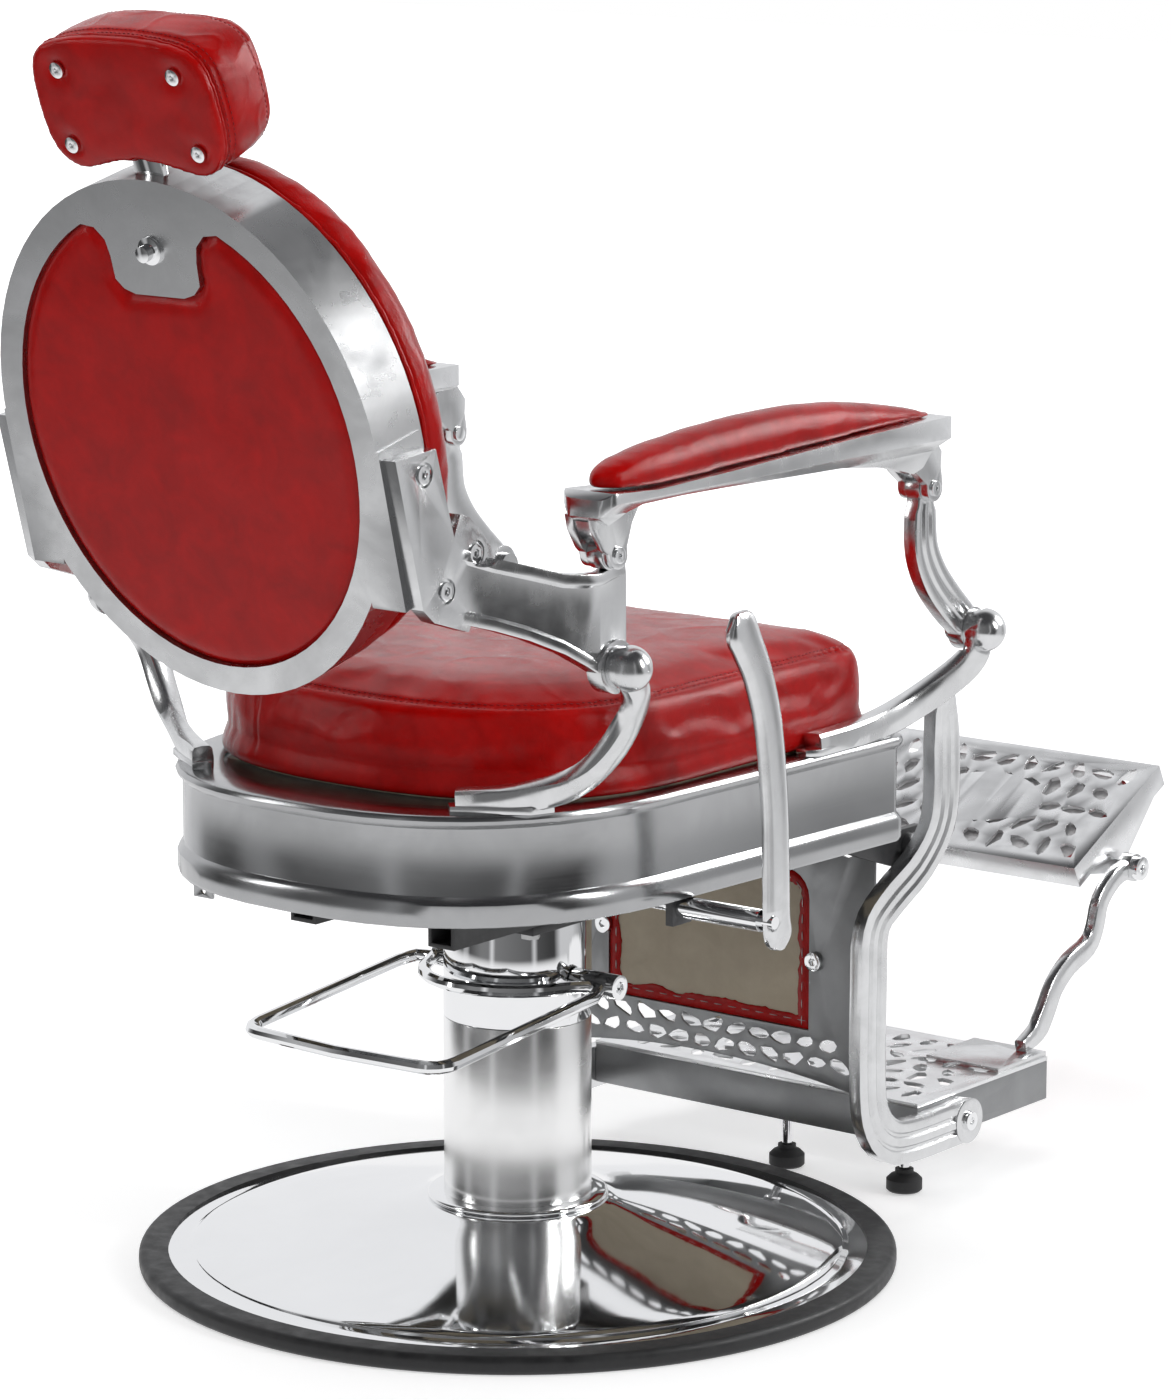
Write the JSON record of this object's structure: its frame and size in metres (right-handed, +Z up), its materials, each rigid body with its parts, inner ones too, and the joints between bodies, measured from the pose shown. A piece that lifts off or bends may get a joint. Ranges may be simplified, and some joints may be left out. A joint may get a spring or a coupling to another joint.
{
  "type": "hydraulic barber chair",
  "caption": "Hydraulic barber chair: reclining oval back with linked folding armrests and headrest, leg rest, flip footrest, foot-pumped turning column.",
  "frame": {"origin": "on the floor in the middle of the round base, on the column's axis", "axes": "+Z up along the column, -Y towards the front of the chair, where the footrest is, +X towards the sitter's left hand"},
  "size_m": [0.6999, 1.3759, 1.1724],
  "materials": {
    "rubber": "matte",
    "dark_steel": "satin",
    "chrome": "mirror polished",
    "bush": "matte",
    "bronze": "satin",
    "polished_cast": "polished casting",
    "brushed_steel": "brushed",
    "red_vinyl": "glossy upholstery",
    "plywood": "bare"
  },
  "bodies": {
    "base": {"base_ring": "rubber", "base_bottom_plate": "dark_steel", "base_dome": "chrome", "column_collar": "chrome", "column_lower_cover": "chrome", "column_guide_bush": "bush", "piston_rod": "dark_steel", "base_bolts": "dark_steel"},
    "lift_column": {"lift_cylinder": "dark_steel", "pump_head": "dark_steel", "column_upper_cover": "chrome", "thrust_washer": "bronze", "spindle_cap": "dark_steel"},
    "foot_pump": {"pump_lever": "chrome", "pump_axle": "chrome"},
    "seat": {"turntable_plate": "dark_steel", "seat_chassis": "dark_steel", "chassis_bolts": "dark_steel", "seat_band": "brushed_steel", "seat_board": "plywood", "seat_cushion": "red_vinyl", "rear_arms": "polished_cast", "front_arms": "polished_cast", "ball_pivot_pins": "chrome", "leg_castings": "polished_cast", "leg_panel": "brushed_steel", "calf_board": "plywood", "calf_pad": "red_vinyl", "leg_screws": "chrome", "platform_skirt": "brushed_steel", "platform_grille": "polished_cast", "leveller_nuts": "chrome", "flip_arms": "polished_cast", "flip_pivot_bolts": "chrome"},
    "levelling_foot_outer": {"leveller_outer": "rubber"},
    "levelling_foot_inner": {"leveller_inner": "rubber"},
    "flip_footrest": {"flip_tread": "polished_cast", "flip_pad": "red_vinyl"},
    "lever": {"lever_shaft": "chrome", "recline_lever": "chrome"},
    "back": {"back_frame": "polished_cast", "back_panel": "red_vinyl", "back_board": "plywood", "back_cushion": "red_vinyl", "headrest_guide": "brushed_steel", "clamp_knob": "chrome", "back_links": "polished_cast", "link_bolts": "chrome"},
    "arm_left": {"armrest_left": "polished_cast", "arm_pins_left": "brushed_steel", "arm_pad_left": "red_vinyl"},
    "arm_right": {"armrest_right": "polished_cast", "arm_pins_right": "brushed_steel", "arm_pad_right": "red_vinyl"},
    "link_left": {"front_link_left": "polished_cast"},
    "link_right": {"front_link_right": "polished_cast"},
    "headrest": {"headrest_board": "red_vinyl", "headrest_cushion": "red_vinyl", "headrest_screws": "chrome", "headrest_post": "chrome"}
  },
  "joints": [
    {"name": "lift", "type": "slide", "parent": "base", "child": "lift_column", "axis": [0, 0, 1], "range_m": [0, 0.15]},
    {"name": "turn", "type": "hinge", "parent": "lift_column", "child": "seat", "pos_m": [0, 0, 0.345], "axis": [0, 0, 1], "continuous": true},
    {"name": "pump", "type": "hinge", "parent": "lift_column", "child": "foot_pump", "pos_m": [0, 0, 0.275], "axis": [-1, 0, 0], "range_deg": [0, 24], "stiffness_Nm_per_rad": 8, "springref_deg": -28.65},
    {"name": "recline", "type": "hinge", "parent": "seat", "child": "back", "pos_m": [0, 0.218, 0.622], "axis": [-1, 0, 0], "range_deg": [0, 40]},
    {"name": "arm_fold_left", "type": "hinge", "parent": "back", "child": "arm_left", "pos_m": [0.286, 0.228, 0.719], "axis": [-1, 0, 0], "range_deg": [-43.8, 0]},
    {"name": "arm_fold_right", "type": "hinge", "parent": "back", "child": "arm_right", "pos_m": [-0.286, 0.228, 0.719], "axis": [-1, 0, 0], "range_deg": [-43.8, 0]},
    {"name": "front_link_turn_left", "type": "hinge", "parent": "seat", "child": "link_left", "pos_m": [0.278, -0.314, 0.579], "axis": [-1, 0, 0], "range_deg": [0, 30.4]},
    {"name": "front_link_turn_right", "type": "hinge", "parent": "seat", "child": "link_right", "pos_m": [-0.278, -0.314, 0.579], "axis": [-1, 0, 0], "range_deg": [0, 30.4]},
    {"name": "headrest_height", "type": "slide", "parent": "back", "child": "headrest", "axis": [0, 0.2419, 0.9703], "range_m": [0, 0.05]},
    {"name": "footrest_flip", "type": "hinge", "parent": "seat", "child": "flip_footrest", "pos_m": [0, -0.767, 0.257], "axis": [1, 0, 0], "range_deg": [0, 180]},
    {"name": "recline_release", "type": "hinge", "parent": "seat", "child": "lever", "pos_m": [-0.324, 0.054, 0.377], "axis": [-1, 0, 0], "range_deg": [0, 15], "stiffness_Nm_per_rad": 6, "springref_deg": -17.19},
    {"name": "levelling_screw_outer", "type": "slide", "parent": "seat", "child": "levelling_foot_outer", "axis": [0, 0, 1], "range_m": [0, 0.012]},
    {"name": "levelling_screw_inner", "type": "slide", "parent": "seat", "child": "levelling_foot_inner", "axis": [0, 0, 1], "range_m": [0, 0.012]}
  ],
  "couplings": [
    {"joint": "arm_fold_left", "follows": "recline", "ratio": -1.0923},
    {"joint": "arm_fold_right", "follows": "recline", "ratio": -1.0923},
    {"joint": "front_link_turn_left", "follows": "recline", "ratio": 0.7546},
    {"joint": "front_link_turn_right", "follows": "recline", "ratio": 0.7546}
  ]
}
